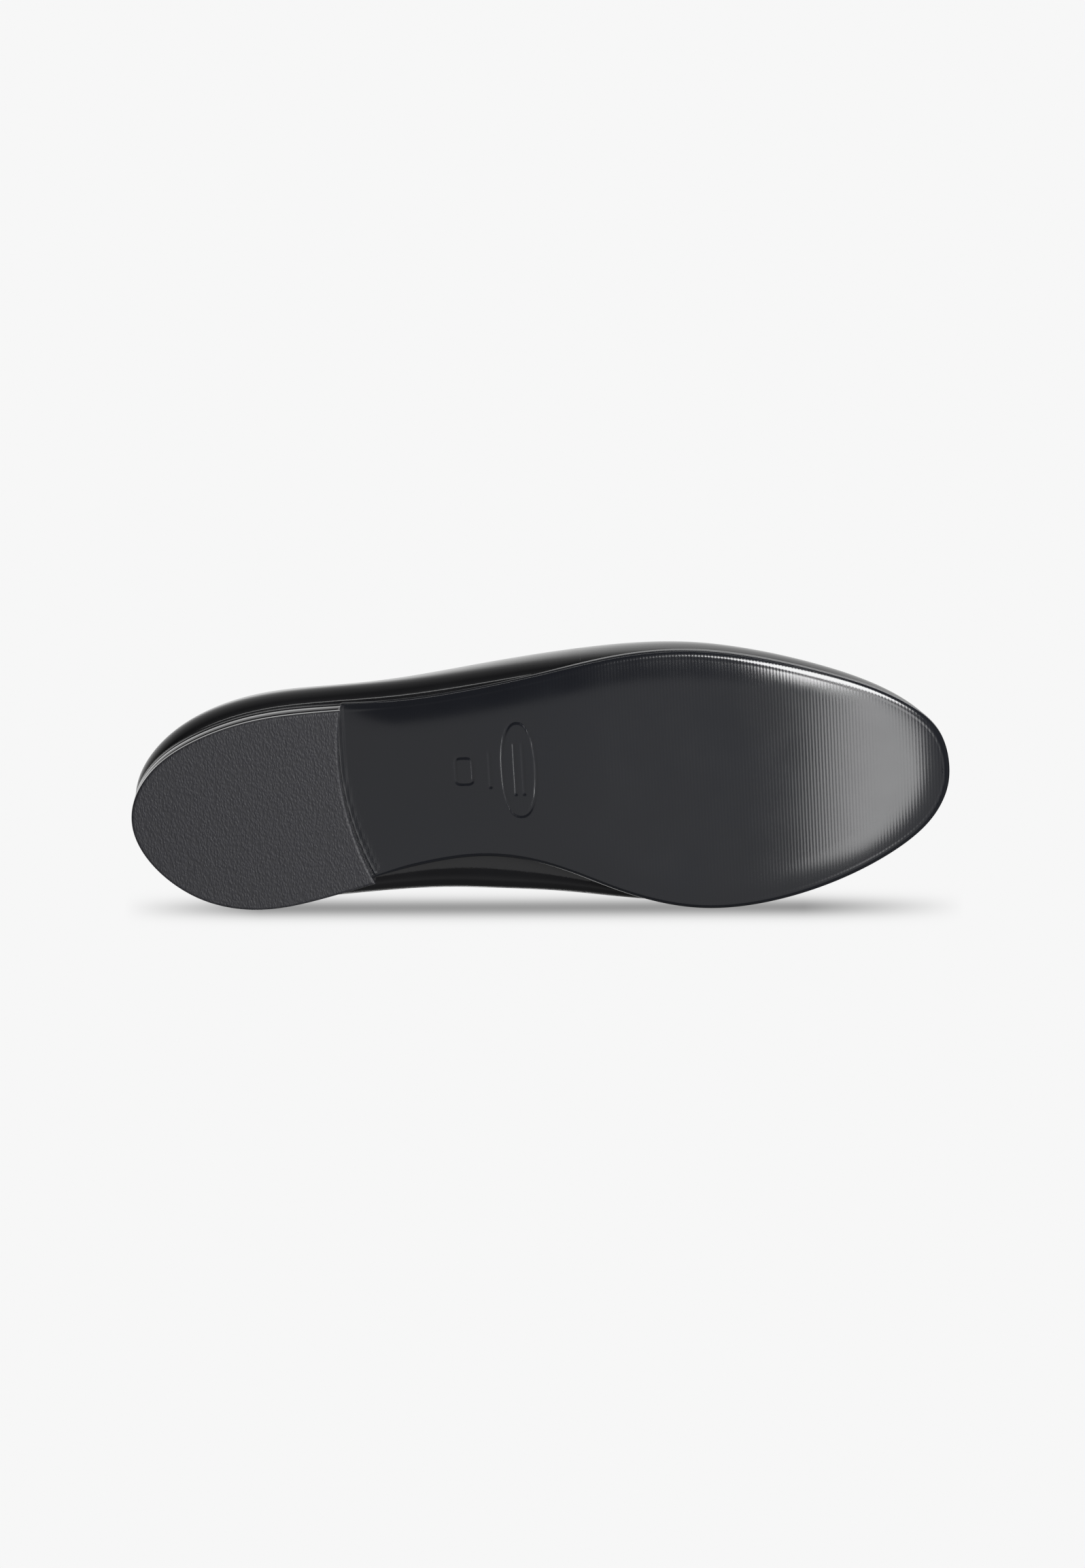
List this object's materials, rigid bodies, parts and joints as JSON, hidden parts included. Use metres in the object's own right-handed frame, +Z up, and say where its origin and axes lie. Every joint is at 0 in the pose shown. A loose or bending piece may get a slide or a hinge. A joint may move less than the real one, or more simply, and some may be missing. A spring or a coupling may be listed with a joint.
{
  "type": "slip-on dress shoe",
  "caption": "Low-heeled slip-on shoe for the right foot: glossy black whole-cut upper with a bound topline, smooth leather sole, low heel with a grained top lift.",
  "frame": {"origin": "middle of the shoe's bounding box in plan, on the ground that the heel and the ball of the sole stand on", "axes": "+X from heel to toe, +Y to the inner (big-toe) side, +Z up"},
  "size_m": [0.255, 0.084, 0.0723],
  "materials": {
    "sole_leather": "glossed smooth",
    "heel_gloss": "burnished gloss",
    "top_lift_rubber": "pebbled matt",
    "insole_fibre": "matt fibreboard",
    "steel": "satin",
    "cork": "matt granulated cork",
    "sock_leather": "soft satin",
    "upper_leather": "smooth high gloss",
    "binding_leather": "smooth satin",
    "puff": "matt",
    "counter_board": "matt leatherboard",
    "lining_textile": "woven twill",
    "lining_leather": "soft matt",
    "grip_suede": "suede"
  },
  "bodies": {
    "root": {"outsole": "sole_leather", "heel_block": "heel_gloss", "top_lift": "top_lift_rubber", "insole_board": "insole_fibre", "shank": "steel", "shank_rivet_1": "steel", "shank_rivet_2": "steel", "forepart_filler": "cork", "heel_nail_1": "steel", "heel_nail_2": "steel", "heel_nail_3": "steel", "heel_nail_4": "steel", "heel_nail_5": "steel", "sock_lining": "sock_leather", "heel_pad": "sock_leather", "upper": "upper_leather", "back_strap": "upper_leather", "topline_binding": "binding_leather", "toe_puff": "puff", "heel_counter": "counter_board", "vamp_lining": "lining_textile", "quarter_lining_outer": "lining_leather", "quarter_lining_inner": "lining_leather", "heel_grip": "grip_suede"}
  },
  "joints": []
}
